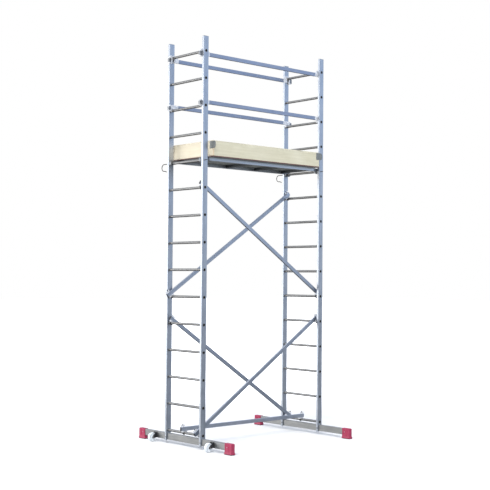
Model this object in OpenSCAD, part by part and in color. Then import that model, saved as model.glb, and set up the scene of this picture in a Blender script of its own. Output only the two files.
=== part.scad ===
// Mobile tower scaffold: two stacked ladder frames at each end, guard rails,
// diagonal braces, a decked platform with a hatch, and a rolling base.
// Millimetres, +Z up, X along the platform, Y across it.
// Origin: on the floor, at the centre of the whole footprint.

/* [Ladder frames] */
// Distance between the two ladder frames, centre to centre
frame_gap = 1692; // [1500:4:1800]
// Distance between the stiles of one ladder frame, centre to centre
stile_gap = 564; // [540:2:600]
// Depth of a stile, along the tower
stile_d = 64; // [60:1:70]
// Thickness of a stile, across the tower
stile_t = 28; // [26:1:32]
// Wall of the stile profile
stile_wall = 2; // [1.6:0.1:3]
// Height of the lowest rung above the floor
rung1_z = 138; // [134:1:160]
// Spacing of the rungs
pitch = 280; // [270:1:290]
// Rungs in a lower ladder frame
low_rungs = 10; // [8:1:12]
// Rungs in an upper ladder frame
up_rungs = 5; // [5:1:6]
// Outer diameter of a rung
rung_d = 27; // [25:0.5:28]
// Bore of a rung
rung_bore = 23; // [20:0.5:23]

/* [Platform] */
// Length of the deck
deck_l = 1554; // [1440:2:1600]
// Width of the deck
deck_w = 660; // [640:2:680]
// Thickness of the deck
deck_t = 11; // [9:0.5:15]
// Height of the toe boards
toe_h = 156; // [100:1:170]
// Thickness of the toe boards
toe_t = 20; // [16:1:24]

/* [Rails and braces] */
// Height of the rail and brace tube
bar_h = 40; // [36:1:44]
// Thickness of the rail and brace tube
bar_t = 20; // [18:1:24]
// Wall of the rail and brace tube
bar_wall = 2; // [1.5:0.1:3]
// Diameter of the hook bolts
bolt_d = 8; // [6:0.5:8]

/* [Base] */
// Half length of a base beam
beam_half = 752; // [700:2:800]
// Height of a base beam
beam_h = 68; // [60:1:70]
// Width of a base beam
beam_w = 34; // [30:1:34]
// Transport wheel diameter
wheel_d = 92; // [80:1:94]
// Transport wheel width
wheel_w = 34; // [28:1:38]

/* [Hidden] */
$fn = 40;

// Reach of the wheels past the left frame, and of the wing nuts past the
// right one: the tower stands off the middle by half the difference.
wheel_x = 69;
claw_out = 56;
hx = frame_gap/2;
hy = stile_gap/2;
rr = rung_d/2;
function xs(s) = xc + s*hx;
function rz(k) = rung1_z + (k - 1)*pitch;
z_bot = 31;
z_seam = rz(low_rungs + 1) - 45;
zj = rz(low_rungs + 1);
n_all = low_rungs + up_rungs;
z_top = rz(n_all) + 148;
in_y = hy - stile_t/2;
out_y = hy + stile_t/2;
rod_r = 4;
rod_out = 392;
rod_bend = 36;
// base
beam_z0 = 40;
beam_z1 = beam_z0 + beam_h;
// deck
frame_z0 = zj + 2;
frame_h = 35;
deck_z0 = frame_z0 + frame_h;
deck_z1 = deck_z0 + deck_t;
frame_y = 262;
frame_x = hx - 82;
side_w = 30;
hatch_x0 = -705;
hatch_x1 = -95;
hatch_hy = 215;
hinge_y = 216.5;
hinge_z = deck_z1 + 4.2;
// rails
rail_y = 256;
rail_x = hx - 71;
rail_top = -28;
rail_mid = 40;
// braces
brace_y = 236;
plan_y = 8;
saddle_t = 19.5;
bar_c = saddle_t + bar_h/2;
bar_ext = 45;
hook_r = rr + bolt_d/2 + 0.5;
bolt_top = saddle_t + bar_h + 32;

// A brace runs from a left rung to a right rung: [left rung, right rung, y]
BR = [[10, 6, -brace_y], [6, 10, brace_y], [1, 5, -brace_y], [5, 1, brace_y], [1, 1, plan_y]];
function br_len(b) = norm([2*hx, rz(b[1]) - rz(b[0])]);
function br_ang(b) = atan2(rz(b[1]) - rz(b[0]), 2*hx);
nut_out = (hook_r + 24)*cos(br_ang(BR[1])) + (saddle_t + bar_h + 25.3)*sin(br_ang(BR[1]));
xc = (wheel_x + wheel_d/2 - nut_out)/2;

module box(x0, x1, y0, y1, z0, z1) translate([x0, y0, z0]) cube([x1 - x0, y1 - y0, z1 - z0]);
module crect(w, h, c) polygon([[-w/2 + c, -h/2], [w/2 - c, -h/2], [w/2, -h/2 + c], [w/2, h/2 - c],
  [w/2 - c, h/2], [-w/2 + c, h/2], [-w/2, h/2 - c], [-w/2, -h/2 + c]]);
module ycyl(x, z, y0, y1, r) translate([x, y0, z]) rotate([-90, 0, 0]) cylinder(h = y1 - y0, r = r);
module xcyl(y, z, x0, x1, r) translate([x0, y, z]) rotate([0, 90, 0]) cylinder(h = x1 - x0, r = r);
// extrude an X-Z outline along Y, from y0 to y1
module xz(y0, y1) translate([0, y1, 0]) rotate([90, 0, 0]) linear_extrude(y1 - y0) children();

// ---- ladder frames ----
module profile_tube(z0, z1) difference() {
  translate([0, 0, z0]) linear_extrude(z1 - z0) crect(stile_d, stile_t, 2);
  translate([0, 0, z0 - 1]) linear_extrude(z1 - z0 + 2) square([stile_d - 2*stile_wall, stile_t - 2*stile_wall], center = true);
}
module lower_stile(sx, sy) color([0.80, 0.83, 0.88]) translate([xs(sx), sy*hy, 0]) difference() {
  profile_tube(z_bot, z_seam);
  for (k = [1:low_rungs]) ycyl(0, rz(k), -stile_t, stile_t, rr + 0.05);
  box(-beam_w/2 - 0.2, beam_w/2 + 0.2, -stile_t, stile_t, z_bot - 1, beam_z1 + 0.3);
  xcyl(0, beam_z0 + beam_h/2, -stile_d, stile_d, 5.2);
}
module upper_stile(sx, sy) color([0.80, 0.84, 0.90]) translate([xs(sx), sy*hy, 0]) difference() {
  profile_tube(z_seam + 0.5, z_top);
  for (k = [low_rungs + 2:n_all]) ycyl(0, rz(k), -stile_t, stile_t, rr + 0.05);
  ycyl(0, zj, -stile_t, stile_t, rod_r + 0.3);
}
module rung(x, k) difference() {
  union() {
    ycyl(x, rz(k), -out_y - 1.3, out_y + 1.3, rr);
    for (s = [-1, 1]) ycyl(x, rz(k), s*(out_y + 0.7) - 0.6, s*(out_y + 0.7) + 0.6, rr + 3);
  }
  ycyl(x, rz(k), -out_y - 3, out_y + 3, rung_bore/2);
}
module lower_rungs(sx) color([0.66, 0.67, 0.68]) for (k = [1:low_rungs]) rung(xs(sx), k);
module upper_rungs(sx) color([0.66, 0.67, 0.68]) {
  for (k = [low_rungs + 2:n_all]) rung(xs(sx), k);
  difference() {
    ycyl(xs(sx), zj, -in_y, in_y, rr);
    ycyl(xs(sx), zj, -in_y - 1, in_y + 1, rung_bore/2);
  }
}
module stile_spigots() color([0.62, 0.64, 0.67]) for (sx = [-1, 1], sy = [-1, 1])
  translate([xs(sx), sy*hy, 0]) difference() {
    translate([0, 0, z_seam - 140]) linear_extrude(250) difference() {
      square([stile_d - 2*stile_wall - 0.4, stile_t - 2*stile_wall - 0.4], center = true);
      square([stile_d - 2*stile_wall - 5.4, stile_t - 2*stile_wall - 5.4], center = true);
    }
    ycyl(0, zj, -stile_t, stile_t, rod_r + 0.08);
  }
module stile_plugs() color([0.42, 0.43, 0.45]) for (sx = [-1, 1], sy = [-1, 1])
  translate([xs(sx), sy*hy, z_top]) {
    translate([0, 0, 0]) linear_extrude(4) crect(stile_d - 0.6, stile_t - 0.6, 3);
    translate([0, 0, -18]) linear_extrude(18) square([stile_d - 2*stile_wall - 0.2, stile_t - 2*stile_wall - 0.2], center = true);
  }
module coupling_rod(sx) color([0.36, 0.35, 0.33]) translate([xs(sx), 0, zj]) {
  ycyl(0, 0, -out_y - 26, rod_out, rod_r);
  translate([0, -out_y - 26, 0]) rotate([90, 0, 0]) cylinder(h = 5, r1 = rod_r, r2 = 2);
  translate([0, rod_out, -rod_bend]) rotate([90, 0, 90]) rotate([0, 0, -90])
    rotate_extrude(angle = 180) translate([rod_bend, 0]) circle(r = rod_r, $fn = 24);
  ycyl(0, -2*rod_bend, rod_out - 14, rod_out, rod_r);
  translate([0, rod_out - 13, -2*rod_bend]) rotate([90 + 16, 0, 0]) translate([0, 0, -1.2]) cylinder(h = 38, r = rod_r);
}

// ---- guard rails ----
module rail_tube(x0, x1) rotate([90, 0, 90]) translate([0, 0, x0]) linear_extrude(x1 - x0) difference() {
  crect(bar_t, bar_h, 1.5);
  square([bar_t - 2*bar_wall, bar_h - 2*bar_wall], center = true);
}
module guard_rail(sy, z) color([0.62, 0.69, 0.79]) translate([xc, sy*rail_y, z]) rail_tube(-rail_x, rail_x);
CLAW_TOP = [[-71, -48], [-14.2, -48], [-14.2, rr + 0.3], [14.2, rr + 0.3], [14.2, -58], [claw_out - 3, -58],
  [claw_out, -52], [claw_out, -2], [32, 24], [-30, 24], [-71, -8]];
CLAW_MID = [[-71, 20], [-38, 20], [-30, -8], [-14.2, -8], [-14.2, rr + 0.3], [14.2, rr + 0.3],
  [14.2, -10], [36, -10], [claw_out, 4], [claw_out, 46], [36, 60], [-71, 60]];
module rail_claw(outline, zr) {
  xz(-11, 11) polygon(outline);
  box(-111, -71, -(bar_t - 2*bar_wall)/2 + 0.2, (bar_t - 2*bar_wall)/2 - 0.2, zr - bar_h/2 + bar_wall + 0.2, zr + bar_h/2 - bar_wall - 0.2);
}
module guard_rail_claws() color([0.52, 0.53, 0.55]) for (sx = [-1, 1], sy = [-1, 1]) {
  translate([xs(sx), sy*rail_y, rz(n_all)]) mirror([sx < 0 ? 1 : 0, 0, 0]) rail_claw(CLAW_TOP, rail_top);
  translate([xs(sx), sy*rail_y, rz(n_all - 2)]) mirror([sx < 0 ? 1 : 0, 0, 0]) rail_claw(CLAW_MID, rail_mid);
}

// ---- braces: each is drawn in its own frame, X along the bar, the left rung at the origin ----
module brace_frame(b) translate([xs(-1), b[2], rz(b[0])]) rotate([0, -br_ang(b), 0]) children();
module brace(b) color([0.60, 0.67, 0.77]) brace_frame(b) difference() {
  translate([0, 0, bar_c]) rail_tube(-bar_ext, br_len(b) + bar_ext);
  for (x = [-hook_r, br_len(b) + hook_r]) translate([x, 0, saddle_t - 5]) cylinder(h = bar_h + 10, r = bolt_d/2 + 0.5);
}
module saddle(s) difference() {
  box(-28, 28, -13, 13, 5, saddle_t);
  ycyl(0, 0, -20, 20, rr + 0.3);
  translate([s*hook_r, 0, 0]) cylinder(h = 30, r = bolt_d/2 + 0.3);
}
module brace_saddles() color([0.66, 0.67, 0.69]) for (b = BR) brace_frame(b) {
  saddle(-1);
  translate([br_len(b), 0, 0]) saddle(1);
}
module hook_bolt(s) {
  translate([s*hook_r, 0, 0]) cylinder(h = bolt_top, r = bolt_d/2);
  rotate([90, 0, 0]) rotate([0, 0, 180]) rotate_extrude(angle = 180) translate([hook_r, 0]) circle(d = bolt_d, $fn = 24);
  translate([-s*hook_r, 0, 0]) cylinder(h = 3, r = bolt_d/2);
}
module brace_hook_bolts() color([0.25, 0.25, 0.27]) for (b = BR) brace_frame(b) {
  hook_bolt(-1);
  translate([br_len(b), 0, 0]) hook_bolt(1);
}
module wing_nut(i) color([0.72, 0.74, 0.78]) let (b = BR[floor((i - 1)/2)], e = (i - 1) % 2)
  brace_frame(b) translate([e == 0 ? -hook_r : br_len(b) + hook_r, 0, saddle_t + bar_h + 0.3]) difference() {
    union() {
      cylinder(h = 11, r1 = 9.5, r2 = 7.5);
      xz(-1.6, 1.6) polygon([[-24, 25], [-26, 17], [-19, 4], [-7, 1], [7, 1], [19, 4], [26, 17], [24, 25],
        [17, 24], [11, 13], [7, 10], [-7, 10], [-11, 13], [-17, 24]]);
    }
    translate([0, 0, -1]) cylinder(h = 30, r = bolt_d/2 + 0.06);
  }

// ---- base ----
module base_beam(sx) color([0.72, 0.74, 0.76]) translate([xs(sx), 0, 0]) difference() {
  translate([0, beam_half, beam_z0 + beam_h/2]) rotate([90, 0, 0]) linear_extrude(2*beam_half) difference() {
    crect(beam_w, beam_h, 2);
    square([beam_w - 5, beam_h - 5], center = true);
  }
  for (sy = [-1, 1]) xcyl(sy*hy, beam_z0 + beam_h/2, -beam_w, beam_w, 5.2);
}
module base_beam_bolts() color([0.60, 0.61, 0.63]) for (sx = [-1, 1], sy = [-1, 1])
  translate([xs(sx), sy*hy, beam_z0 + beam_h/2]) mirror([sx < 0 ? 1 : 0, 0, 0]) {
    xcyl(0, 0, -stile_d/2 - 13, stile_d/2, 5);
    xcyl(0, 0, stile_d/2, stile_d/2 + 4, 9);
    difference() {
      translate([-stile_d/2 - 9, 0, 0]) rotate([0, 90, 0]) cylinder(h = 8, r = 9.2, $fn = 6);
      xcyl(0, 0, -stile_d/2 - 12, -stile_d/2 + 2, 5.04);
    }
  }
foot_y0 = 656;
foot_x = beam_w/2 + 5;
module foot_caps() color([0.78, 0.22, 0.38]) for (sx = [-1, 1], sy = [-1, 1])
  translate([xs(sx), 0, 0]) mirror([0, sy < 0 ? 1 : 0, 0]) difference() {
    intersection() {
      xz(foot_y0 - 10, beam_half + 20) polygon([[-foot_x - 4, 6], [foot_x + 4, 6], [foot_x + 4, 17], [foot_x, 27],
        [foot_x, beam_z1 - 1], [foot_x - 4, beam_z1 + 4], [-foot_x + 4, beam_z1 + 4], [-foot_x, beam_z1 - 1], [-foot_x, 27], [-foot_x - 4, 17]]);
      translate([-60, 0, 0]) rotate([90, 0, 90]) linear_extrude(120) polygon([[foot_y0 - 4, 0], [beam_half + 8, 0], [beam_half + 8, 17],
        [beam_half + 5, 27], [beam_half + 5, beam_z1 - 2], [beam_half, beam_z1 + 6], [foot_y0 + 2, beam_z1 + 6], [foot_y0, beam_z1], [foot_y0, 27], [foot_y0 - 4, 17]]);
    }
    box(-beam_w/2 - 0.1, beam_w/2 + 0.1, foot_y0 - 10, beam_half + 0.2, beam_z0 - 0.1, beam_z1 + 0.1);
  }
module foot_pads() color([0.10, 0.09, 0.10]) for (sx = [-1, 1], sy = [-1, 1])
  translate([xs(sx), sy*(foot_y0 + beam_half + 4)/2, 0]) linear_extrude(6) crect(2*foot_x + 6, beam_half + 10 - foot_y0, 3);
wheel_y = 465;
wheel_z = wheel_d/2 + 3;
module wheel_brackets() color([0.22, 0.23, 0.25]) for (sy = [-1, 1]) translate([xs(-1), sy*wheel_y, 0]) difference() {
  union() {
    box(-beam_w/2 - 4, -beam_w/2, -wheel_w/2 - 8, wheel_w/2 + 8, 42, 102);
    for (s = [-1, 1]) let (y0 = s > 0 ? wheel_w/2 + 2 : -wheel_w/2 - 6)
      {
        xz(y0, y0 + 4) polygon([[-beam_w/2 - 3, 100], [-beam_w/2 - 3, 44], [-wheel_x + 4, wheel_z - 10], [-wheel_x - 6, wheel_z + 8], [-beam_w/2 - 16, 92]]);
        ycyl(-wheel_x, wheel_z, y0, y0 + 4, 12);
      }
  }
  ycyl(-wheel_x, wheel_z, -wheel_w, wheel_w, 5.05);
}
module wheel_axles() color([0.62, 0.63, 0.65]) for (sy = [-1, 1]) translate([xs(-1), sy*wheel_y, 0]) {
  ycyl(-wheel_x, wheel_z, -wheel_w/2 - 6.2, wheel_w/2 + 6.2, 5);
  for (s = [-1, 1]) ycyl(-wheel_x, wheel_z, s*(wheel_w/2 + 8.2) - 2, s*(wheel_w/2 + 8.2) + 2, 8);
}
module wheel(sy) color([0.84, 0.87, 0.89]) translate([xs(-1) - wheel_x, sy*wheel_y, wheel_z]) rotate([90, 0, 0])
  rotate_extrude($fn = 64) polygon([[5.06, -wheel_w/2], [14, -wheel_w/2], [16, -wheel_w/2 + 5], [32, -wheel_w/2 + 6], [35, -wheel_w/2 + 1],
    [42, -wheel_w/2 + 1], [wheel_d/2, -wheel_w/2 + 6], [wheel_d/2, wheel_w/2 - 6], [42, wheel_w/2 - 1], [35, wheel_w/2 - 1],
    [32, wheel_w/2 - 6], [16, wheel_w/2 - 5], [14, wheel_w/2], [5.06, wheel_w/2]]);

// ---- platform ----
module side_profile(sy) translate([xc, sy*(frame_y - side_w/2), frame_z0 + frame_h/2]) rotate([90, 0, 90])
  translate([0, 0, -frame_x]) linear_extrude(2*frame_x) difference() {
    crect(side_w, frame_h, 1.5);
    square([side_w - 4, frame_h - 4], center = true);
  }
module cross_tube(x0) let (y1 = frame_y - side_w - 0.2) translate([xc + x0 + 15, y1, frame_z0 + 20]) rotate([90, 0, 0])
  linear_extrude(2*y1) difference() {
    crect(30, 30, 1.5);
    square([26, 26], center = true);
  }
module platform_frame() color([0.60, 0.66, 0.74]) {
  for (sy = [-1, 1]) side_profile(sy);
  for (x = [-frame_x, hatch_x0 - 13, hatch_x1 - 17, 310, frame_x - 30]) cross_tube(x);
}
CLAW_DECK = [[-82, 2], [-34, 2], [-30, -10], [-14.2, -10], [-14.2, rr + 0.3], [14.2, rr + 0.3], [14.2, -22],
  [28, -22], [34, -14], [34, 12], [27, 26], [-40, 35], [-82, 35]];
LATCH_X = -50;
LATCH_Z = 8;
module platform_claws() color([0.42, 0.43, 0.46]) for (sx = [-1, 1]) {
  for (sy = [-1, 1]) translate([xs(sx), sy*(frame_y - side_w/2), zj]) mirror([sx < 0 ? 1 : 0, 0, 0]) {
    xz(-13, 13) polygon(CLAW_DECK);
    box(-122, -82, -12.8, 12.8, 4.2, 34.8);
  }
  translate([xs(sx), 0, zj]) mirror([sx < 0 ? 1 : 0, 0, 0]) {
    ycyl(LATCH_X, LATCH_Z, -frame_y + side_w/2 + 13, -frame_y + side_w/2 + 19.6, 4);
    ycyl(LATCH_X, LATCH_Z, -frame_y + side_w/2 + 18.6, -frame_y + side_w/2 + 21, 7);
  }
}
module wind_latch(sx) color([0.45, 0.46, 0.47]) translate([xs(sx), 0, zj]) mirror([sx < 0 ? 1 : 0, 0, 0])
  difference() {
    union() {
      ycyl(LATCH_X, LATCH_Z, -frame_y + side_w/2 + 13.3, -frame_y + side_w/2 + 18.3, 10);
      xz(-frame_y + side_w/2 + 13.3, -frame_y + side_w/2 + 18.3)
        polygon([[-56, 3], [-46, 14], [-16, -14.5], [12, -14.5], [12, -24], [-22, -24]]);
    }
    ycyl(LATCH_X, LATCH_Z, -frame_y, -frame_y + 60, 4.06);
  }
module deck_panel() color([0.24, 0.15, 0.12]) difference() {
  box(xc - deck_l/2, xc + deck_l/2, -deck_w/2, deck_w/2, deck_z0, deck_z1);
  box(xc + hatch_x0 - 3, xc + hatch_x1 + 3, -hatch_hy - 3, hatch_hy + 3, deck_z0 - 1, deck_z1 + 1);
}
module hatch_panel() color([0.26, 0.16, 0.13]) difference() {
  box(xc + hatch_x0, xc + hatch_x1, -hatch_hy, hatch_hy, deck_z0, deck_z1);
  translate([xc + (hatch_x0 + hatch_x1)/2, -hatch_hy + 50, deck_z0 - 1]) {
    for (s = [-1, 1]) translate([s*35, 0, 0]) cylinder(h = deck_t + 2, r = 16);
    box(-35, 35, -16, 16, 0, deck_t + 2);
  }
}
HX = [-600, -200];
module hatch_hinges() color([0.55, 0.56, 0.58]) for (x = HX) translate([xc + x, hinge_y, hinge_z]) {
  difference() {
    union() {
      box(-40, 40, 4.6, 30, -4.2, -2.2);
      for (s = [-1, 1]) {
        xcyl(0, 0, s*28 - 12, s*28 + 12, 4);
        box(s*28 - 12, s*28 + 12, 0, 6, -4.2, -2.2);
      }
    }
    xcyl(0, 0, -41, 41, 2);
  }
  xcyl(0, 0, -42, 42, 2);
}
module hatch_hinge_leaves() color([0.55, 0.56, 0.58]) for (x = HX) translate([xc + x, hinge_y, hinge_z]) difference() {
  union() {
    box(-40, 40, -30, -4.6, -4.2, -2.2);
    xcyl(0, 0, -15.6, 15.6, 4);
    box(-15.6, 15.6, -6, 0, -4.2, -2.2);
  }
  xcyl(0, 0, -41, 41, 2.06);
}
module toe_board(x0, x1, y0, y1) color([0.90, 0.86, 0.74]) box(xc + x0, xc + x1, y0, y1, deck_z1, deck_z1 + toe_h);
tl = deck_l/2;
tw = deck_w/2;
module clip(x, y, a) translate([xc + x, y, deck_z1 + toe_h - 82]) rotate([0, 0, a]) difference() {
  xz(-3, 0) polygon([[-46, 0], [24, 0], for (a = [-80:10:80]) [24 + 24*cos(a), 38 + 38*sin(a)], [24, 76], [-46, 76]]);
  for (z = [18, 58]) ycyl(-26, z, -10, 10, 3);
}
module toe_board_brackets() color([0.62, 0.63, 0.62]) {
  clip(tl, -tw, 0);
  clip(tl, tw, 90);
  clip(-tl, tw, 180);
  clip(-tl, -tw, 270);
}

lower_stile(-1, -1);  // lower_stile_front_left
lower_stile(-1, 1);  // lower_stile_back_left
lower_stile(1, -1);  // lower_stile_front_right
lower_stile(1, 1);  // lower_stile_back_right
upper_stile(-1, -1);  // upper_stile_front_left
upper_stile(-1, 1);  // upper_stile_back_left
upper_stile(1, -1);  // upper_stile_front_right
upper_stile(1, 1);  // upper_stile_back_right
lower_rungs(-1);  // lower_rungs_left
lower_rungs(1);  // lower_rungs_right
upper_rungs(-1);  // upper_rungs_left
upper_rungs(1);  // upper_rungs_right
stile_spigots();
stile_plugs();
coupling_rod(-1);  // coupling_rod_left
coupling_rod(1);  // coupling_rod_right
guard_rail(-1, rz(n_all) + rail_top);  // guard_rail_top_front
guard_rail(1, rz(n_all) + rail_top);  // guard_rail_top_back
guard_rail(-1, rz(n_all - 2) + rail_mid);  // guard_rail_mid_front
guard_rail(1, rz(n_all - 2) + rail_mid);  // guard_rail_mid_back
guard_rail_claws();
brace(BR[0]);  // brace_upper_front
brace(BR[1]);  // brace_upper_back
brace(BR[2]);  // brace_lower_front
brace(BR[3]);  // brace_lower_back
brace(BR[4]);  // plan_brace
brace_saddles();
brace_hook_bolts();
wing_nut(1);  // wing_nut_1
wing_nut(2);  // wing_nut_2
wing_nut(3);  // wing_nut_3
wing_nut(4);  // wing_nut_4
wing_nut(5);  // wing_nut_5
wing_nut(6);  // wing_nut_6
wing_nut(7);  // wing_nut_7
wing_nut(8);  // wing_nut_8
wing_nut(9);  // wing_nut_9
wing_nut(10);  // wing_nut_10
base_beam(-1);  // base_beam_left
base_beam(1);  // base_beam_right
base_beam_bolts();
foot_caps();
foot_pads();
wheel_brackets();
wheel_axles();
wheel(-1);  // wheel_front
wheel(1);  // wheel_back
platform_frame();
platform_claws();
deck_panel();
hatch_panel();
hatch_hinges();
hatch_hinge_leaves();
wind_latch(-1);  // wind_latch_left
wind_latch(1);  // wind_latch_right
toe_board(-tl + toe_t, tl, -tw, -tw + toe_t);  // toe_board_front
toe_board(-tl, tl - toe_t, tw - toe_t, tw);  // toe_board_back
toe_board(-tl, -tl + toe_t, -tw, tw - toe_t);  // toe_board_left
toe_board(tl - toe_t, tl, -tw + toe_t, tw);  // toe_board_right
toe_board_brackets();
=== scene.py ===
import bpy
import bmesh
import math
from mathutils import Matrix, Vector


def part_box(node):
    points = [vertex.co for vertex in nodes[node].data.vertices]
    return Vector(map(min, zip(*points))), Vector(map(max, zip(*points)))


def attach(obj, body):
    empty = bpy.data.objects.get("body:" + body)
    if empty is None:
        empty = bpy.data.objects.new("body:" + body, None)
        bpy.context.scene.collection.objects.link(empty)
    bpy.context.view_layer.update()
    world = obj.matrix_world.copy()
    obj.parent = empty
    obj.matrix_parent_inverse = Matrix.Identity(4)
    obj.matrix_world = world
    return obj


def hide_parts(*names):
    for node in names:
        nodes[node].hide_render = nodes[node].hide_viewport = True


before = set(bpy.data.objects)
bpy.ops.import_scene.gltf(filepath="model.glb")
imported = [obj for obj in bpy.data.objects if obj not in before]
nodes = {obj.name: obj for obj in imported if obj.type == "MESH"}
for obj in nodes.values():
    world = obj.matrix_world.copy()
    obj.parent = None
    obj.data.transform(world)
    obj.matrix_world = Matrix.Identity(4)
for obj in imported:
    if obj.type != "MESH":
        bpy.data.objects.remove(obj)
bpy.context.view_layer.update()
scene = bpy.context.scene
MM = 0.001

# ---------------------------------------------------------------- sizes, as in the CAD source
HX, HY = 0.846, 0.282
STILE_D, STILE_T = 0.064, 0.028
IN_Y, OUT_Y = 0.268, 0.296


def rz(k):
    return 0.138 + (k - 1) * 0.280


ZJ = rz(11)
Z_SEAM = ZJ - 0.045
BAR_H, BAR_T = 0.040, 0.020
BRACES = [(10, 6, -0.236), (6, 10, 0.236), (1, 5, -0.236), (5, 1, 0.236), (1, 1, 0.008)]
BRACE_NODES = ["brace_upper_front", "brace_upper_back", "brace_lower_front", "brace_lower_back", "plan_brace"]


def br_len(b):
    return math.hypot(2 * HX, rz(b[1]) - rz(b[0]))


def br_ang(b):
    return math.atan2(rz(b[1]) - rz(b[0]), 2 * HX)


lo_s, hi_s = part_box("lower_stile_front_left")
XL = (lo_s.x + hi_s.x) / 2
lo_s, hi_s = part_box("lower_stile_front_right")
XR = (lo_s.x + hi_s.x) / 2
XC = (XL + XR) / 2
XS = {-1: XL, 1: XR}
deck_lo, deck_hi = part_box("deck_panel")
DECK_Z0, DECK_Z1 = deck_lo.z, deck_hi.z

# ---------------------------------------------------------------- camera
cam_data = bpy.data.cameras.new("camera")
cam_data.sensor_width = 36.0
cam_data.lens = 78.58
cam_data.clip_end = 200
camera = bpy.data.objects.new("camera", cam_data)
scene.collection.objects.link(camera)
az, el, roll = math.radians(41.92), math.radians(1.73), math.radians(0.43)
fwd = Vector((math.sin(az) * math.cos(el), math.cos(az) * math.cos(el), math.sin(el)))
right = Vector((math.cos(az), -math.sin(az), 0))
up = right.cross(fwd)
r2 = right * math.cos(roll) + up * math.sin(roll)
u2 = up * math.cos(roll) - right * math.sin(roll)
m = Matrix((r2, u2, -fwd)).transposed().to_4x4()
m.translation = Vector((-7.7808, -8.6514, 1.7441))
camera.matrix_world = m
scene.camera = camera

# ---------------------------------------------------------------- studio: floor, world, lights
scene.view_settings.view_transform = "Standard"
scene.view_settings.look = "None"

floor_mesh = bpy.data.meshes.new("studio_floor")
S = 60.0
floor_mesh.from_pydata([(-S, -S, 0), (S, -S, 0), (S, S, 0), (-S, S, 0)], [], [(0, 1, 2, 3)])
floor = bpy.data.objects.new("studio_floor", floor_mesh)
floor.location.z = -0.0002
scene.collection.objects.link(floor)
fm = bpy.data.materials.new("studio_floor")
fm.use_nodes = True
fb = fm.node_tree.nodes["Principled BSDF"]
fb.inputs["Base Color"].default_value = (0.90, 0.90, 0.90, 1)
fb.inputs["Roughness"].default_value = 0.9
fb.inputs["Specular IOR Level"].default_value = 0.1
floor_mesh.materials.append(fm)
# far from the object the floor goes over into the white backdrop
f_tc = fm.node_tree.nodes.new("ShaderNodeTexCoord")
f_len = fm.node_tree.nodes.new("ShaderNodeVectorMath")
f_len.operation = "LENGTH"
f_map = fm.node_tree.nodes.new("ShaderNodeMapRange")
f_map.interpolation_type = "SMOOTHSTEP"
f_map.inputs["From Min"].default_value = 2.0
f_map.inputs["From Max"].default_value = 5.0
fb.inputs["Emission Color"].default_value = (1, 1, 1, 1)
fm.node_tree.links.new(f_tc.outputs["Object"], f_len.inputs[0])
fm.node_tree.links.new(f_len.outputs["Value"], f_map.inputs["Value"])
fm.node_tree.links.new(f_map.outputs[0], fb.inputs["Emission Strength"])
floor.visible_glossy = False

world = bpy.data.worlds.new("studio")
scene.world = world
world.use_nodes = True
wt = world.node_tree
wt.nodes.clear()
w_out = wt.nodes.new("ShaderNodeOutputWorld")
w_mix = wt.nodes.new("ShaderNodeMixShader")
w_path = wt.nodes.new("ShaderNodeLightPath")
w_cam = wt.nodes.new("ShaderNodeBackground")
w_env = wt.nodes.new("ShaderNodeBackground")
w_tex = wt.nodes.new("ShaderNodeTexCoord")
w_sep = wt.nodes.new("ShaderNodeSeparateXYZ")
w_ramp = wt.nodes.new("ShaderNodeValToRGB")
w_map = wt.nodes.new("ShaderNodeMapRange")
w_cam.inputs["Color"].default_value = (1, 1, 1, 1)
w_cam.inputs["Strength"].default_value = 1.0
w_env.inputs["Strength"].default_value = 1.0
w_map.inputs["From Min"].default_value = -1
w_map.inputs["From Max"].default_value = 1
er = w_ramp.color_ramp
er.elements[0].position = 0.0
er.elements[0].color = (0.16, 0.16, 0.16, 1)
er.elements[1].position = 1.0
er.elements[1].color = (0.95, 0.98, 1.05, 1)
e = er.elements.new(0.46)
e.color = (0.31, 0.32, 0.335, 1)
e = er.elements.new(0.56)
e.color = (0.36, 0.43, 0.56, 1)
wt.links.new(w_tex.outputs["Generated"], w_sep.inputs[0])
wt.links.new(w_sep.outputs["Z"], w_map.inputs["Value"])
wt.links.new(w_map.outputs[0], w_ramp.inputs[0])
wt.links.new(w_ramp.outputs[0], w_env.inputs["Color"])
wt.links.new(w_path.outputs["Is Camera Ray"], w_mix.inputs[0])
wt.links.new(w_env.outputs[0], w_mix.inputs[1])
wt.links.new(w_cam.outputs[0], w_mix.inputs[2])
wt.links.new(w_mix.outputs[0], w_out.inputs[0])


def area(name, loc, target, sx, sy, color, power):
    d = bpy.data.lights.new(name, "AREA")
    d.shape = "RECTANGLE"
    d.size, d.size_y = sx, sy
    d.color = color
    d.energy = power
    o = bpy.data.objects.new(name, d)
    scene.collection.objects.link(o)
    o.location = loc
    o.rotation_euler = (Vector(target) - Vector(loc)).to_track_quat("-Z", "Y").to_euler()
    return o


area("key_left", (-9.0, 7.5, 2.9), (0, 0, 1.9), 9, 7.2, (1.0, 0.99, 0.97), 600)
area("sky_right", (7.5, -8.5, 7.6), (0, 0, 3.6), 8, 6, (0.36, 0.60, 1.0), 90)
area("fill_right", (7.5, -8.5, 3.1), (0, 0, 2.7), 8, 2.8, (0.76, 0.87, 1.0), 46)
sun_data = bpy.data.lights.new("soft_sun", "SUN")
sun_data.energy = 2.3
sun_data.angle = math.radians(38)
sun_data.color = (1.0, 0.985, 0.96)
sun = bpy.data.objects.new("soft_sun", sun_data)
scene.collection.objects.link(sun)
sun.rotation_euler = Vector((-0.62, -0.35, 0.74)).to_track_quat("Z", "Y").to_euler()

# ---------------------------------------------------------------- procedural materials
def new_mat(name):
    m = bpy.data.materials.new(name)
    m.use_nodes = True
    return m, m.node_tree, m.node_tree.nodes["Principled BSDF"]


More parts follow.
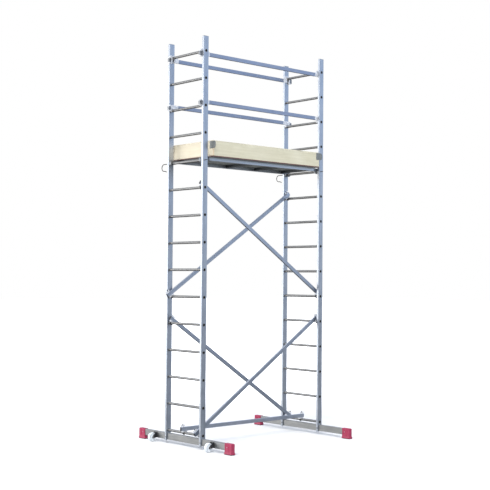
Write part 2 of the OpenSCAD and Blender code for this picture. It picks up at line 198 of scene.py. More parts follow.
def coords(nt, rot_y=0.0, scale=(1, 1, 1)):
    tc = nt.nodes.new("ShaderNodeTexCoord")
    mp = nt.nodes.new("ShaderNodeMapping")
    mp.vector_type = "POINT"
    mp.inputs["Rotation"].default_value = (0, rot_y, 0)
    nt.links.new(tc.outputs["Object"], mp.inputs["Vector"])
    sc_ = nt.nodes.new("ShaderNodeMapping")
    sc_.inputs["Scale"].default_value = scale
    nt.links.new(mp.outputs[0], sc_.inputs["Vector"])
    return tc, sc_.outputs[0]


def noise(nt, vec, scale, detail=3.0, rough=0.5):
    n = nt.nodes.new("ShaderNodeTexNoise")
    n.inputs["Scale"].default_value = scale
    n.inputs["Detail"].default_value = detail
    n.inputs["Roughness"].default_value = rough
    nt.links.new(vec, n.inputs["Vector"])
    return n.outputs["Fac"]


def ramp(nt, fac, stops):
    r = nt.nodes.new("ShaderNodeValToRGB")
    cr = r.color_ramp
    cr.elements[0].position, cr.elements[0].color = stops[0][0], (*stops[0][1], 1)
    cr.elements[1].position, cr.elements[1].color = stops[-1][0], (*stops[-1][1], 1)
    for p, c in stops[1:-1]:
        el_ = cr.elements.new(p)
        el_.color = (*c, 1)
    nt.links.new(fac, r.inputs[0])
    return r.outputs["Color"]


def rng(nt, fac, a, b, lo=0.3, hi=0.7):
    r = nt.nodes.new("ShaderNodeMapRange")
    r.inputs["From Min"].default_value = lo
    r.inputs["From Max"].default_value = hi
    r.inputs["To Min"].default_value = a
    r.inputs["To Max"].default_value = b
    nt.links.new(fac, r.inputs["Value"])
    return r.outputs[0]


def mul(nt, a, b, fac=1.0, mode="MULTIPLY"):
    mx = nt.nodes.new("ShaderNodeMix")
    mx.data_type = "RGBA"
    mx.blend_type = mode
    if hasattr(fac, "links"):
        nt.links.new(fac, mx.inputs[0])
    else:
        mx.inputs[0].default_value = fac
    nt.links.new(a, mx.inputs[6])
    nt.links.new(b, mx.inputs[7])
    return mx.outputs[2]


def math_node(nt, op, a, b=None):
    n = nt.nodes.new("ShaderNodeMath")
    n.operation = op
    nt.links.new(a, n.inputs[0])
    if b is not None:
        if hasattr(b, "links"):
            nt.links.new(b, n.inputs[1])
        else:
            n.inputs[1].default_value = b
    return n.outputs[0]


def bump(nt, bsdf, height, strength, distance, under=None):
    b = nt.nodes.new("ShaderNodeBump")
    b.inputs["Strength"].default_value = strength
    b.inputs["Distance"].default_value = distance
    nt.links.new(height, b.inputs["Height"])
    if under is not None:
        nt.links.new(under, b.inputs["Normal"])
    nt.links.new(b.outputs[0], bsdf.inputs["Normal"])
    return b.outputs[0]


AXIS_SCALE = {"X": (0.02, 1, 1), "Y": (1, 0.02, 1), "Z": (1, 1, 0.02)}


def extruded(name, c0, c1, axis="X", rot_y=0.0, rough=(0.26, 0.42), metallic=1.0, lines=1100, painted_shade_inside=None):
    """Extruded aluminium: fine lines along the profile, handling marks, oxide bloom."""
    m, nt, b = new_mat(name)
    _, v = coords(nt, rot_y, AXIS_SCALE[axis])
    fine = noise(nt, v, lines, 2.0)
    broad = noise(nt, v, 130, 3.0, 0.6)
    _, v2 = coords(nt)
    marks = noise(nt, v2, 9.0, 5.0, 0.62)
    specks = noise(nt, v2, 150.0, 3.0, 0.6)
    col = ramp(nt, broad, [(0.30, c0), (0.70, c1)])
    col = mul(nt, col, ramp(nt, marks, [(0.32, (0.84, 0.85, 0.87)), (0.62, (1, 1, 1))]), 0.9)
    col = mul(nt, col, ramp(nt, specks, [(0.28, (0.80, 0.80, 0.80)), (0.40, (1, 1, 1))]), 0.5)
    if painted_shade_inside is not None:
        # painted shade: the tubes between the side profiles, under the deck, are darkened to about a sixth of their
        # colour, standing in for the shade they sit in
        sp = nt.nodes.new("ShaderNodeSeparateXYZ")
        tc_ = nt.nodes.new("ShaderNodeTexCoord")
        nt.links.new(tc_.outputs["Object"], sp.inputs[0])
        k = math_node(nt, "LESS_THAN", math_node(nt, "ABSOLUTE", sp.outputs["Y"]), painted_shade_inside)
        col = mul(nt, col, ramp(nt, k, [(0.0, (1, 1, 1)), (1.0, (0.16, 0.16, 0.155))]))
    nt.links.new(col, b.inputs["Base Color"])
    b.inputs["Metallic"].default_value = metallic
    rf = rng(nt, fine, rough[0], rough[1])
    rm = rng(nt, marks, 0.0, 0.10)
    nt.links.new(math_node(nt, "ADD", rf, rm), b.inputs["Roughness"])
    n1 = bump(nt, b, fine, 0.20, 0.0003)
    bump(nt, b, broad, 0.25, 0.0006, n1)
    return m


def cast(name, c0, c1, rough=(0.42, 0.62), metallic=1.0, grain=420, depth=0.0005):
    """Cast or tumbled metal: fine sand-cast grain and darker patches at random."""
    m, nt, b = new_mat(name)
    _, v = coords(nt)
    g = noise(nt, v, grain, 4.0, 0.6)
    big = noise(nt, v, 22, 4.0, 0.6)
    col = ramp(nt, big, [(0.30, c0), (0.68, c1)])
    col = mul(nt, col, ramp(nt, g, [(0.30, (0.80, 0.80, 0.80)), (0.55, (1, 1, 1))]), 0.8)
    nt.links.new(col, b.inputs["Base Color"])
    b.inputs["Metallic"].default_value = metallic
    nt.links.new(rng(nt, g, rough[0], rough[1]), b.inputs["Roughness"])
    bump(nt, b, g, 0.35, depth)
    return m


def zinc(name, c0, c1, rough=(0.25, 0.45), metallic=1.0):
    """Zinc-plated steel: faint spangle over a mottled tone."""
    m, nt, b = new_mat(name)
    _, v = coords(nt)
    vo = nt.nodes.new("ShaderNodeTexVoronoi")
    vo.inputs["Scale"].default_value = 160
    nt.links.new(v, vo.inputs["Vector"])
    n = noise(nt, v, 60, 4, 0.6)
    col = ramp(nt, n, [(0.32, c0), (0.66, c1)])
    col = mul(nt, col, ramp(nt, vo.outputs["Distance"], [(0.0, (0.9, 0.9, 0.9)), (0.6, (1, 1, 1))]), 0.7)
    nt.links.new(col, b.inputs["Base Color"])
    b.inputs["Metallic"].default_value = metallic
    nt.links.new(rng(nt, n, rough[0], rough[1]), b.inputs["Roughness"])
    bump(nt, b, noise(nt, v, 900, 2), 0.12, 0.0002)
    return m


def plastic(name, c0, c1, rough=(0.34, 0.52), grain=1500, spec=0.5, depth=0.0002):
    """Moulded plastic: fine spark-eroded grain, scuffs, a little unevenness in the colour."""
    m, nt, b = new_mat(name)
    _, v = coords(nt)
    g = noise(nt, v, grain, 2.0, 0.6)
    s = noise(nt, v, 38, 5.0, 0.7)
    col = ramp(nt, s, [(0.30, c0), (0.66, c1)])
    col = mul(nt, col, ramp(nt, g, [(0.25, (0.90, 0.90, 0.90)), (0.5, (1, 1, 1))]), 0.6)
    nt.links.new(col, b.inputs["Base Color"])
    b.inputs["Specular IOR Level"].default_value = spec
    nt.links.new(rng(nt, s, rough[0], rough[1]), b.inputs["Roughness"])
    bump(nt, b, g, 0.25, depth)
    return m


def plywood(name, face0, face1, ply_a, ply_b, grain_axis, thick_axis, film=False, ply=0.0014):
    """Plywood: veneer grain (or a patterned film) on the broad faces, glued layers on the edges."""
    m, nt, b = new_mat(name)
    tc, v = coords(nt, 0.0, {"X": (0.06, 1, 1), "Y": (1, 0.06, 1), "Z": (1, 1, 0.06)}[grain_axis])
    _, vp = coords(nt)
    figure = noise(nt, v, 60, 6.0, 0.62)
    pores = noise(nt, v, 700, 3.0, 0.6)
    blotch = noise(nt, vp, 5.0, 3.0, 0.55)
    face = ramp(nt, figure, [(0.28, face0), (0.72, face1)])
    face = mul(nt, face, ramp(nt, blotch, [(0.30, (0.93, 0.92, 0.89)), (0.65, (1, 1, 1))]), 1.0)
    face = mul(nt, face, ramp(nt, pores, [(0.26, (0.84, 0.80, 0.74)), (0.42, (1, 1, 1))]), 0.6)
    sep = nt.nodes.new("ShaderNodeSeparateXYZ")
    nt.links.new(tc.outputs["Object"], sep.inputs[0])
    saw = math_node(nt, "MULTIPLY", sep.outputs[thick_axis], 2 * math.pi / (2 * ply))
    wave = math_node(nt, "SINE", saw)
    wob = math_node(nt, "ADD", wave, rng(nt, pores, -0.5, 0.5))
    edge = ramp(nt, rng(nt, wob, 0.0, 1.0, -0.9, 0.9), [(0.30, ply_a), (0.70, ply_b)])
    nsep = nt.nodes.new("ShaderNodeSeparateXYZ")
    nt.links.new(tc.outputs["Normal"], nsep.inputs[0])
    k = math_node(nt, "GREATER_THAN", math_node(nt, "ABSOLUTE", nsep.outputs[thick_axis]), 0.75)
    col = mul(nt, edge, face, k, "MIX")
    if film:
        # painted shade: the downward faces get a dark grey-green instead of the film's red-brown, standing in for the
        # shaded underside of the deck
        under = ramp(nt, figure, [(0.28, (0.060, 0.066, 0.060)), (0.72, (0.092, 0.098, 0.090))])
        underside_shade_mask = math_node(nt, "LESS_THAN", nsep.outputs["Z"], -0.75)
        col = mul(nt, col, under, underside_shade_mask, "MIX")
    nt.links.new(col, b.inputs["Base Color"])
    if film:
        sx = math_node(nt, "SINE", math_node(nt, "MULTIPLY", math_node(nt, "ADD", sep.outputs["X"], sep.outputs["Y"]), 2 * math.pi / 0.011))
        sy = math_node(nt, "SINE", math_node(nt, "MULTIPLY", math_node(nt, "SUBTRACT", sep.outputs["X"], sep.outputs["Y"]), 2 * math.pi / 0.011))
        mesh = math_node(nt, "MAXIMUM", sx, sy)
        nt.links.new(rng(nt, blotch, 0.34, 0.55), b.inputs["Roughness"])
        bump(nt, b, math_node(nt, "MULTIPLY", mesh, k), 0.6, 0.0006)
    else:
        nt.links.new(rng(nt, figure, 0.55, 0.72), b.inputs["Roughness"])
        b.inputs["Specular IOR Level"].default_value = 0.25
        bump(nt, b, math_node(nt, "ADD", pores, figure), 0.35, 0.0005)
    return m


STILE_C = ((0.50, 0.535, 0.585), (0.63, 0.665, 0.72))
BAR_C = ((0.46, 0.50, 0.57), (0.58, 0.62, 0.70))
M = {}
M["stile"] = extruded("stile_mill_aluminium", *STILE_C, axis="Z", rough=(0.30, 0.46))
M["rung"] = extruded("rung_mill_aluminium", (0.25, 0.245, 0.235), (0.40, 0.395, 0.385), axis="Y", rough=(0.34, 0.52))
# near-black bore material: painted shade of the dark insides of the rung tubes
M["bore"] = cast("rung_bore_painted_shade", (0.012, 0.012, 0.012), (0.028, 0.027, 0.026), rough=(0.70, 0.90), metallic=0.0, grain=300)
M["bar"] = extruded("bar_mill_aluminium", (0.37, 0.40, 0.48), (0.47, 0.50, 0.59), axis="X", rough=(0.28, 0.44))
M["beam"] = extruded("beam_mill_aluminium", (0.35, 0.35, 0.34), (0.48, 0.48, 0.47), axis="Y", rough=(0.32, 0.50))
# the platform's tubes inside |y| < 0.2318 get painted shade, far darker than the side profiles
M["side"] = extruded("platform_mill_aluminium", (0.62, 0.66, 0.71), (0.75, 0.79, 0.84), axis="X", rough=(0.30, 0.46), painted_shade_inside=0.2318)
for b_, n_ in zip(BRACES, BRACE_NODES):
    lo_, hi_ = BAR_C if n_ != "plan_brace" else ((0.57, 0.61, 0.69), (0.70, 0.74, 0.82))
    M[n_] = extruded(n_ + "_mill_aluminium", lo_, hi_, axis="X", rot_y=br_ang(b_), rough=(0.28, 0.44))
M["spigot"] = extruded("spigot_mill_aluminium", (0.46, 0.47, 0.49), (0.58, 0.59, 0.62), axis="Z", rough=(0.36, 0.54))
M["cast"] = cast("cast_aluminium", (0.27, 0.28, 0.29), (0.40, 0.41, 0.425))
M["cast_light"] = cast("cast_aluminium_light", (0.66, 0.67, 0.69), (0.80, 0.81, 0.83), rough=(0.40, 0.58), metallic=0.55)
M["zinc"] = zinc("zinc_plated_steel", (0.48, 0.48, 0.49), (0.62, 0.62, 0.63))
M["nut"] = zinc("zinc_wing_nut", (0.72, 0.73, 0.75), (0.86, 0.87, 0.89), metallic=0.55)
M["rod"] = zinc("bronzed_steel_rod", (0.050, 0.047, 0.042), (0.095, 0.09, 0.082), rough=(0.42, 0.60), metallic=0.7)
M["dark"] = cast("blackened_steel", (0.06, 0.062, 0.068), (0.11, 0.113, 0.12), rough=(0.40, 0.60), metallic=0.85)
M["grey"] = plastic("grey_end_cap", (0.15, 0.155, 0.17), (0.22, 0.225, 0.24))
M["clip"] = zinc("galvanised_clip", (0.17, 0.18, 0.175), (0.27, 0.28, 0.27), rough=(0.45, 0.62), metallic=0.6)
M["red"] = plastic("crimson_foot", (0.29, 0.022, 0.062), (0.41, 0.034, 0.092), rough=(0.34, 0.50))
M["latch"] = plastic("grey_latch", (0.30, 0.31, 0.32), (0.40, 0.41, 0.42))
M["rubber"] = plastic("black_rubber", (0.010, 0.010, 0.011), (0.022, 0.021, 0.022), rough=(0.62, 0.82), grain=900, spec=0.3, depth=0.0004)
M["plug"] = plastic("black_tube_plug", (0.018, 0.018, 0.020), (0.032, 0.032, 0.034), rough=(0.48, 0.62))
M["wheel"] = plastic("pale_wheel_plastic", (0.70, 0.75, 0.78), (0.82, 0.86, 0.88), rough=(0.36, 0.50))
M["deck"] = plywood("film_faced_plywood", (0.050, 0.024, 0.018), (0.085, 0.040, 0.030), (0.060, 0.024, 0.020), (0.115, 0.050, 0.038), "X", "Z", film=True)
# The long boards (front and back) take a darker, greener copy of the plywood colours and the short boards (left and
# right) a lighter, warmer one: painted shade on the long boards and painted light on the short ones, not a difference
# in the wood.
PLY_PAINTED_SHADE = ((0.46, 0.435, 0.325), (0.54, 0.515, 0.40), (0.36, 0.27, 0.17), (0.60, 0.52, 0.38))
PLY_PAINTED_LIGHT = ((0.55, 0.495, 0.38), (0.63, 0.575, 0.45), (0.38, 0.28, 0.17), (0.66, 0.57, 0.42))
M["board_long"] = plywood("pale_plywood_long", *PLY_PAINTED_SHADE, "X", "Y")
M["board_short"] = plywood("pale_plywood_short", *PLY_PAINTED_LIGHT, "Y", "X")

NODE_MAT = {
    "lower_stile_front_left": "stile", "lower_stile_back_left": "stile",
    "lower_stile_front_right": "stile", "lower_stile_back_right": "stile",
    "upper_stile_front_left": "stile", "upper_stile_back_left": "stile",
    "upper_stile_front_right": "stile", "upper_stile_back_right": "stile",
    "lower_rungs_left": "rung", "lower_rungs_right": "rung",
    "upper_rungs_left": "rung", "upper_rungs_right": "rung",
    "stile_spigots": "spigot", "stile_plugs": "grey",
    "coupling_rod_left": "rod", "coupling_rod_right": "rod",
    "guard_rail_top_front": "bar", "guard_rail_top_back": "bar",
    "guard_rail_mid_front": "bar", "guard_rail_mid_back": "bar", "guard_rail_claws": "cast_light",
    "brace_upper_front": "brace_upper_front", "brace_upper_back": "brace_upper_back",
    "brace_lower_front": "brace_lower_front", "brace_lower_back": "brace_lower_back",
    "plan_brace": "plan_brace", "brace_saddles": "cast_light", "brace_hook_bolts": "dark",
    "base_beam_left": "beam", "base_beam_right": "beam", "base_beam_bolts": "zinc",
    "foot_caps": "red", "foot_pads": "rubber",
    "wheel_brackets": "dark", "wheel_axles": "zinc", "wheel_front": "wheel", "wheel_back": "wheel",
    "platform_frame": "side", "platform_claws": "cast", "deck_panel": "deck",
    "hatch_panel": "deck", "hatch_hinges": "zinc", "hatch_hinge_leaves": "zinc",
    "wind_latch_left": "latch", "wind_latch_right": "latch",
    "toe_board_front": "board_long", "toe_board_back": "board_long",
    "toe_board_left": "board_short", "toe_board_right": "board_short",
    "toe_board_brackets": "clip",
}
for i in range(1, 11):
    NODE_MAT["wing_nut_%d" % i] = "nut"

# edge radius that the real piece has, in mm; all are drawn with two segments
EDGE = {
    "stile": 1.2, "bar": 1.6, "beam": 1.5, "side": 1.2, "cast": 1.6, "cast_light": 1.6,
    "nut": 0.7, "red": 2.5, "rubber": 1.0, "grey": 0.8, "clip": 0.6, "deck": 0.8, "latch": 0.8,
    "board_long": 1.8, "board_short": 1.8, "dark": 0.6, "zinc": 0.5,
}
for n_ in BRACE_NODES:
    EDGE[n_] = 1.6
NO_EDGE = {"brace_hook_bolts", "wheel_front", "wheel_back", "wheel_axles", "stile_spigots",
           "coupling_rod_left", "coupling_rod_right"}


def soften(obj, width_mm, segments=2):
    w = obj.modifiers.new("join", "WELD")
    w.merge_threshold = 0.00002
    d = obj.modifiers.new("flat", "DECIMATE")
    d.decimate_type = "DISSOLVE"
    d.angle_limit = math.radians(0.6)
    bv = obj.modifiers.new("edge", "BEVEL")
    bv.width = width_mm * MM
    bv.segments = segments
    bv.limit_method = "ANGLE"
    bv.angle_limit = math.radians(32)
    bv.use_clamp_overlap = True
    bv.loop_slide = False
    wn = obj.modifiers.new("shade", "WEIGHTED_NORMAL")
    wn.weight = 60
    wn.keep_sharp = False


for name, obj in nodes.items():
    key = NODE_MAT[name]
    obj.data.materials.clear()
    obj.data.materials.append(M[key])
    if key in EDGE and name not in NO_EDGE:
        soften(obj, EDGE[key])

# ---------------------------------------------------------------- mesh helpers
class Piece:
    """Collects rings and faces, then becomes one object that rides on a body."""

    def __init__(self):
        self.v, self.f = [], []

    def add(self, verts, faces, mat=None):
        n = len(self.v)
        self.v += [tuple(mat @ Vector(p)) if mat is not None else tuple(p) for p in verts]
        self.f += [tuple(i + n for i in f) for f in faces]

    def loft(self, rings, mat=None, ring_closed=True, ends="cap"):
        n, k = len(rings[0]), len(rings)
        verts = [p for r in rings for p in r]
        faces = []
        for i in range(k if ends == "loop" else k - 1):
            a, b = i * n, ((i + 1) % k) * n
            for j in range(n):
                j2 = (j + 1) % n
                faces.append((a + j, a + j2, b + j2, b + j))
        if ends == "cap":
            faces.append(tuple(range(n - 1, -1, -1)))
            faces.append(tuple((k - 1) * n + j for j in range(n)))
        self.add(verts, faces, mat)

    def lathe(self, profile, n=24, mat=None, ends="cap"):
        """profile: (radius, height) pairs about +Z."""
        rings = [[(r * math.cos(2 * math.pi * j / n), r * math.sin(2 * math.pi * j / n), z) for j in range(n)]
                 for r, z in profile]
        self.loft(rings, mat, ends=ends)

    def obj(self, name, body, slot, mat, sharp=32, edge=None):
        me = bpy.data.meshes.new(name)
        me.from_pydata(self.v, [], self.f)
        me.update()
        bm = bmesh.new()
        bm.from_mesh(me)
        bmesh.ops.remove_doubles(bm, verts=bm.verts, dist=1e-7)
        bmesh.ops.recalc_face_normals(bm, faces=bm.faces)
        bm.to_mesh(me)
        bm.free()
        me.polygons.foreach_set("use_smooth", [True] * len(me.polygons))
        me.set_sharp_from_angle(angle=math.radians(sharp))
        me.materials.append(mat)
        o = bpy.data.objects.new(name, me)
        scene.collection.objects.link(o)
        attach(o, body)
        if edge:
            bv = o.modifiers.new("edge", "BEVEL")
            bv.width = edge * MM
            bv.segments = 2
            bv.limit_method = "ANGLE"
            bv.angle_limit = math.radians(35)
            bv.loop_slide = False
        return o


def along(p, axis):
    """Matrix that puts a piece drawn about +Z at p, pointing along axis."""
    q = Vector((0, 0, 1)).rotation_difference(Vector(axis).normalized())
    m = q.to_matrix().to_4x4()
    m.translation = Vector(p)
    return m


def rivet(piece, p, axis, r=0.0048, h=0.0022):
    prof = [(r * 0.92, -0.0006), (r, 0.0002), (r * 0.97, h * 0.35), (r * 0.80, h * 0.72), (r * 0.50, h * 0.94), (r * 0.15, h)]
    piece.lathe(prof, 18, along(p, axis))


def pan_screw(piece, p, axis, r=0.0045, h=0.0020):
    """Round head with a hexagonal socket sunk in it."""
    mt = along(p, axis)
    n = 24
    rings = []
    for rr_, z in [(r * 0.94, -0.0006), (r, 0.0002), (r * 0.98, h * 0.5), (r * 0.86, h * 0.86), (r * 0.66, h)]:
        rings.append([(rr_ * math.cos(2 * math.pi * j / n), rr_ * math.sin(2 * math.pi * j / n), z) for j in range(n)])

    def hexr(a, R):
        s = math.pi / 3
        return R * math.cos(s / 2) / math.cos((a % s) - s / 2)
    for R, z in [(r * 0.50, h * 0.99), (r * 0.48, h * 0.35)]:
        rings.append([(hexr(2 * math.pi * j / n, R) * math.cos(2 * math.pi * j / n),
                       hexr(2 * math.pi * j / n, R) * math.sin(2 * math.pi * j / n), z) for j in range(n)])
    piece.loft(rings, mt)


# ---------------------------------------------------------------- rungs: fluted tubes, flared over the stiles
def fluted_rungs(name, sx, ks, node):
    pc = Piece()
    n = 108
    flutes = 18
    ro, ri = 0.0135, 0.0115

    def ring(y, r, depth, x, z):
        out = []
        for j in range(n):
            a = 2 * math.pi * j / n
            g = max(0.0, math.cos(flutes * a)) ** 1.6
            q = r - depth * g
            out.append((x + q * math.cos(a), y, z + q * math.sin(a)))
        return out
    for k in ks:
        x, z = XS[sx], rz(k)
        if k == 11:
            st = [(-IN_Y, ri, 0), (-IN_Y, ro - 0.0004, 0), (-IN_Y + 0.0004, ro, 0), (-IN_Y + 0.002, ro, 0.0007),
                  (IN_Y - 0.002, ro, 0.0007), (IN_Y - 0.0004, ro, 0), (IN_Y, ro - 0.0004, 0), (IN_Y, ri, 0)]
        else:
            e = OUT_Y + 0.0013
            fl = ro + 0.003
            half = [(e, ri), (e, ri + 0.0006), (e, fl - 0.0008), (e - 0.0003, fl - 0.0002), (e - 0.0008, fl), (OUT_Y + 0.0001, fl - 0.0002),
                    (OUT_Y + 0.0001, ro)]
            st = [(-y, r, 0) for y, r in half] + [(-IN_Y + 0.0008, ro, 0), (-IN_Y + 0.003, ro, 0.0007),
                                                  (IN_Y - 0.003, ro, 0.0007), (IN_Y - 0.0008, ro, 0)]
            st += [(y, r, 0) for y, r in reversed(half)]
        pc.loft([ring(y, r, d, x, z) for y, r, d in st], ends="loop")
    o = pc.obj(name, "tower", "rung_aluminium", M["rung"], sharp=40)
    # the faces inside each bore get the near-black material: painted shade
    o.data.materials.append(M["bore"])
    for p in o.data.polygons:
        zc = round((p.center.z - rz(1)) / 0.280)
        if all(math.hypot(o.data.vertices[i].co.x - XS[sx], o.data.vertices[i].co.z - rz(1) - zc * 0.280) < ri + 0.0001 for i in p.vertices):
            p.material_index = 1
    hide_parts(node)
    return o


fluted_rungs("rung_tubes_lower_left", -1, range(1, 11), "lower_rungs_left")
fluted_rungs("rung_tubes_lower_right", 1, range(1, 11), "lower_rungs_right")
fluted_rungs("rung_tubes_upper_left", -1, range(11, 16), "upper_rungs_left")
fluted_rungs("rung_tubes_upper_right", 1, range(11, 16), "upper_rungs_right")

# ---------------------------------------------------------------- transport wheels
def wheel(name, node, body):
    lo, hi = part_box(node)
    c = (lo + hi) / 2
    R = 0.046
    T = Matrix.Translation(c) @ Matrix.Rotation(math.radians(-90), 4, "X")
    pc = Piece()
    half = [(0.0053, -0.0166), (0.0125, -0.0168), (0.0140, -0.0160), (0.0150, -0.0125), (0.0165, -0.0115), (0.0310, -0.0105),
            (0.0330, -0.0112), (0.0345, -0.0150), (0.0360, -0.0160), (0.0400, -0.0160), (0.0425, -0.0152), (0.0445, -0.0132),
            (0.0456, -0.0102), (0.0460, -0.0068), (0.0460, -0.0040), (0.0452, -0.0034), (0.0452, -0.0022), (0.0460, -0.0016)]
    prof = half + [(r, -z) for r, z in reversed(half)]
    pc.lathe(prof, 72, T, ends="loop")
    tyre = pc.obj(name, body, "wheel_plastic", M["wheel"], sharp=38)
    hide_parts(node)
    ribs = Piece()
    for s in (-1, 1):
        for j in range(8):
            a = 2 * math.pi * j / 8 + 0.2
            mt = T @ Matrix.Rotation(a, 4, "Z")
            r0, r1, w0, w1 = 0.0132, 0.0340, 0.0021, 0.0015
            zt0, zt1 = s * 0.0152, s * 0.0142
            zb = s * 0.0100
            vs = [(r0, -w0, zb), (r1, -w1, zb), (r1, w1, zb), (r0, w0, zb), (r0, -w0 * 0.7, zt0), (r1, -w1 * 0.7, zt1),
                  (r1, w1 * 0.7, zt1), (r0, w0 * 0.7, zt0)]
            ribs.add(vs, [(0, 1, 2, 3), (7, 6, 5, 4), (0, 4, 5, 1), (1, 5, 6, 2), (2, 6, 7, 3), (3, 7, 4, 0)], mt)
    ribs.obj(name + "_ribs", body, "wheel_plastic", M["wheel"], edge=0.3)


wheel("wheel_tyre_front", "wheel_front", "wheel_front")
wheel("wheel_tyre_back", "wheel_back", "wheel_back")

# ---------------------------------------------------------------- end plugs of the braces, threads of the hook bolts
def brace_matrix(b):
    m = Matrix.Rotation(-br_ang(b), 4, "Y")
    m.translation = Vector((XL, b[2], rz(b[0])))
    return m


SADDLE = 0.0195
BAR_C_Z = SADDLE + BAR_H / 2
HOOK_R = 0.0135 + 0.004 + 0.0005
plugs = Piece()
threads = Piece()
for b_ in BRACES:
    bm_ = brace_matrix(b_)
    L = br_len(b_)
    for s, x0 in ((-1, -0.045), (1, L + 0.045)):
        w, h = BAR_T / 2 - 0.0003, BAR_H / 2 - 0.0003
        rings = []
        for dx, k in ((0.0, 1.0), (0.0012, 1.0), (0.0022, 0.90), (0.0027, 0.72)):
            rings.append([(x0 + s * dx, yy, BAR_C_Z + zz) for yy, zz in [
                (-w * k, -h * k + 0.003), (-w * k + 0.003, -h * k), (w * k - 0.003, -h * k), (w * k, -h * k + 0.003),
                (w * k, h * k - 0.003), (w * k - 0.003, h * k), (-w * k + 0.003, h * k), (-w * k, h * k - 0.003)]])
        plugs.loft(rings, bm_)
    for x0 in (-HOOK_R, L + HOOK_R):
        prof = []
        z0 = SADDLE + BAR_H + 0.0118
        z1 = SADDLE + BAR_H + 0.0305
        pitch = 0.00125
        z = z0
        while z < z1:
            prof += [(0.00402, z), (0.00438, z + pitch * 0.42), (0.00438, z + pitch * 0.58)]
            z += pitch
        prof = [(0.0036, z0 - 0.0002)] + prof + [(0.0036, z1 + 0.0006)]
        threads.lathe(prof, 20, bm_ @ Matrix.Translation((x0, 0, 0)))
plugs.obj("brace_end_plugs", "tower", "grey_plastic", M["plug"], edge=0.4)
threads.obj("hook_bolt_threads", "tower", "dark_steel", M["dark"], sharp=50)

# ---------------------------------------------------------------- rivets and screws
rv = Piece()
for sx in (-1, 1):
    for sy in (-1, 1):
        x, y = XS[sx], sy * HY
        for dz in (-0.035, -0.105):
            for dx in (-0.017, 0.017):
                for o_ in (-1, 1):
                    if o_ == -sy and dz == -0.035:
                        continue
                    rivet(rv, (x + dx, y + o_ * STILE_T / 2, Z_SEAM + dz), (0, o_, 0), 0.0040, 0.0018)
        # guard rail ends: two rivets through the tube into the shank of the claw
        for z in (rz(15) - 0.028, rz(13) + 0.040):
            for d in (0.079, 0.101):
                for o_ in (-1, 1):
                    rivet(rv, (x - sx * d, sy * 0.256 + o_ * BAR_T / 2, z), (0, o_, 0), 0.0042, 0.0020)
        # platform side profile on its claws
        for d in (0.092, 0.113):
            for dz in (-0.008, 0.008):
                rivet(rv, (x - sx * d, sy * (0.262 - 0.015) + sy * 0.015, ZJ + 0.0195 + dz), (0, sy, 0), 0.0036, 0.0016)
rv.obj("rivets", "tower", "zinc_steel", M["zinc"], sharp=60)

sc = Piece()
for sy in (-1, 1):
    for i in range(9):
        x = XC - 0.72 + i * 0.18
        y = sy * 0.247
        if abs(x - XC) < 0.76:
            pan_screw(sc, (x, y, DECK_Z1), (0, 0, 1), 0.0048, 0.0014)
for x in (0.325, 0.749):
    for y in (-0.14, 0.0, 0.14):
        pan_screw(sc, (XC + x, y, DECK_Z1), (0, 0, 1), 0.0048, 0.0014)
tl, tw = 0.777, 0.330
for x, y, a in ((tl, -tw, 0), (tl, tw, 90), (-tl, tw, 180), (-tl, -tw, 270)):
    R = Matrix.Rotation(math.radians(a), 4, "Z")
    for dz in (0.018, 0.058):
        p = R @ Vector((-0.026, -0.0004, 0)) + Vector((XC + x, y, DECK_Z1 + 0.156 - 0.082 + dz))
        ax = R @ Vector((0, -1, 0))
        # the head sits in the plate's hole, against the board
        pan_screw(sc, p, ax, 0.0029, 0.0030)
# foot cap screws, one in each cheek
for sx in (-1, 1):
    for sy in (-1, 1):
        for o_ in (-1, 1):
            pan_screw(sc, (XS[sx] + o_ * 0.022, sy * 0.690, 0.072), (o_, 0, 0), 0.0046, 0.0020)
# wheel bracket bolts
for sy in (-1, 1):
    for dy in (-0.011, 0.011):
        pan_screw(sc, (XL - 0.021, sy * 0.465 + dy, 0.0975), (-1, 0, 0), 0.0034, 0.0022)
sc.obj("screws", "tower", "zinc_steel", M["zinc"], sharp=45)

hs = Piece()
hl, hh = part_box("hatch_hinge_leaves")
hi_lo, hi_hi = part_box("hatch_hinges")
HINGE_Y, HINGE_Z = 0.2165, DECK_Z1 + 0.0042
fixed = Piece()
for x in (-0.600, -0.200):
    for dx in (-0.028, 0.0, 0.028):
        pan_screw(hs, (XC + x + dx, HINGE_Y - 0.020, HINGE_Z - 0.0022), (0, 0, 1), 0.0034, 0.0012)
        pan_screw(fixed, (XC + x + dx, HINGE_Y + 0.019, HINGE_Z - 0.0022), (0, 0, 1), 0.0034, 0.0012)
hs.obj("hatch_leaf_screws", "hatch", "zinc_steel", M["zinc"], sharp=45)
fixed.obj("deck_leaf_screws", "tower", "zinc_steel", M["zinc"], sharp=45)
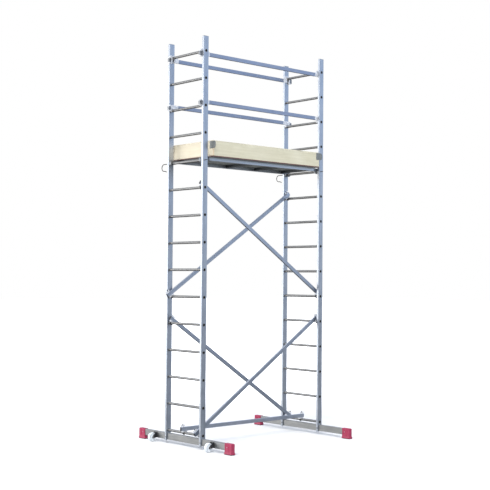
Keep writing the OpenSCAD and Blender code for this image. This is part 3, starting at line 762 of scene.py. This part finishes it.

# ---------------------------------------------------------------- dark plates over the tips of the guard rail claws: painted shade, standing in for the shade on the claws at the left ends; the same plates sit on all eight claws
shade_plates = Piece()
for sx in (-1, 1):
    for sy in (-1, 1):
        for zc, z0, z1 in ((rz(15), -0.0500, -0.0040), (rz(13), 0.0060, 0.0450)):
            out = [(0.0300, z0), (0.0555, z0 + 0.001), (0.0574, z0 + 0.004), (0.0574, z1 - 0.004), (0.0555, z1 - 0.001), (0.0300, z1)]
            rings = []
            for w, g in ((0.0112, 0.0016), (0.0124, 0.0006), (0.0130, 0.0), (-0.0130, 0.0), (-0.0124, 0.0006), (-0.0112, 0.0016)):
                rings.append([(XS[sx] + sx * (x - (g if x > 0.04 else -g)), sy * 0.256 + w, zc + z + (g if z < (z0 + z1) / 2 else -g)) for x, z in out])
            shade_plates.loft(rings)
shade_plates.obj("claw_shade_plates", "tower", "cast_aluminium", M["cast"], sharp=30)

# ---------------------------------------------------------------- moulded ribs of the foot caps
ribs = Piece()
treads = Piece()
for sx in (-1, 1):
    for sy in (-1, 1):
        for o_ in (-1, 1):
            for dy in (0.664, 0.672, 0.708, 0.716, 0.724):
                x0 = XS[sx] + o_ * 0.0215
                x1 = XS[sx] + o_ * 0.0236
                ya, yb = sy * (dy - 0.0015), sy * (dy + 0.0015)
                za, zb = 0.034, 0.100
                vs = [(x0, ya, za), (x0, yb, za), (x0, yb, zb), (x0, ya, zb),
                      (x1, ya + sy * 0.0005, za + 0.003), (x1, yb - sy * 0.0005, za + 0.003),
                      (x1, yb - sy * 0.0005, zb - 0.003), (x1, ya + sy * 0.0005, zb - 0.003)]
                ribs.add(vs, [(0, 1, 2, 3), (7, 6, 5, 4), (0, 4, 5, 1), (1, 5, 6, 2), (2, 6, 7, 3), (3, 7, 4, 0)])
        # raised panel on the outer end of the cap
        y0, y1 = sy * 0.7566, sy * 0.7588
        rings = []
        for y, g in ((y0, 0.0), (y1, 0.002)):
            rings.append([(XS[sx] + dx * (0.013 - g), y, 0.066 + dz * (0.026 - g)) for dx, dz in
                          ((-1, -1), (1, -1), (1, 1), (-1, 1))])
        ribs.loft(rings)
ribs.obj("foot_cap_ribs", "tower", "red_plastic", M["red"], edge=0.4)
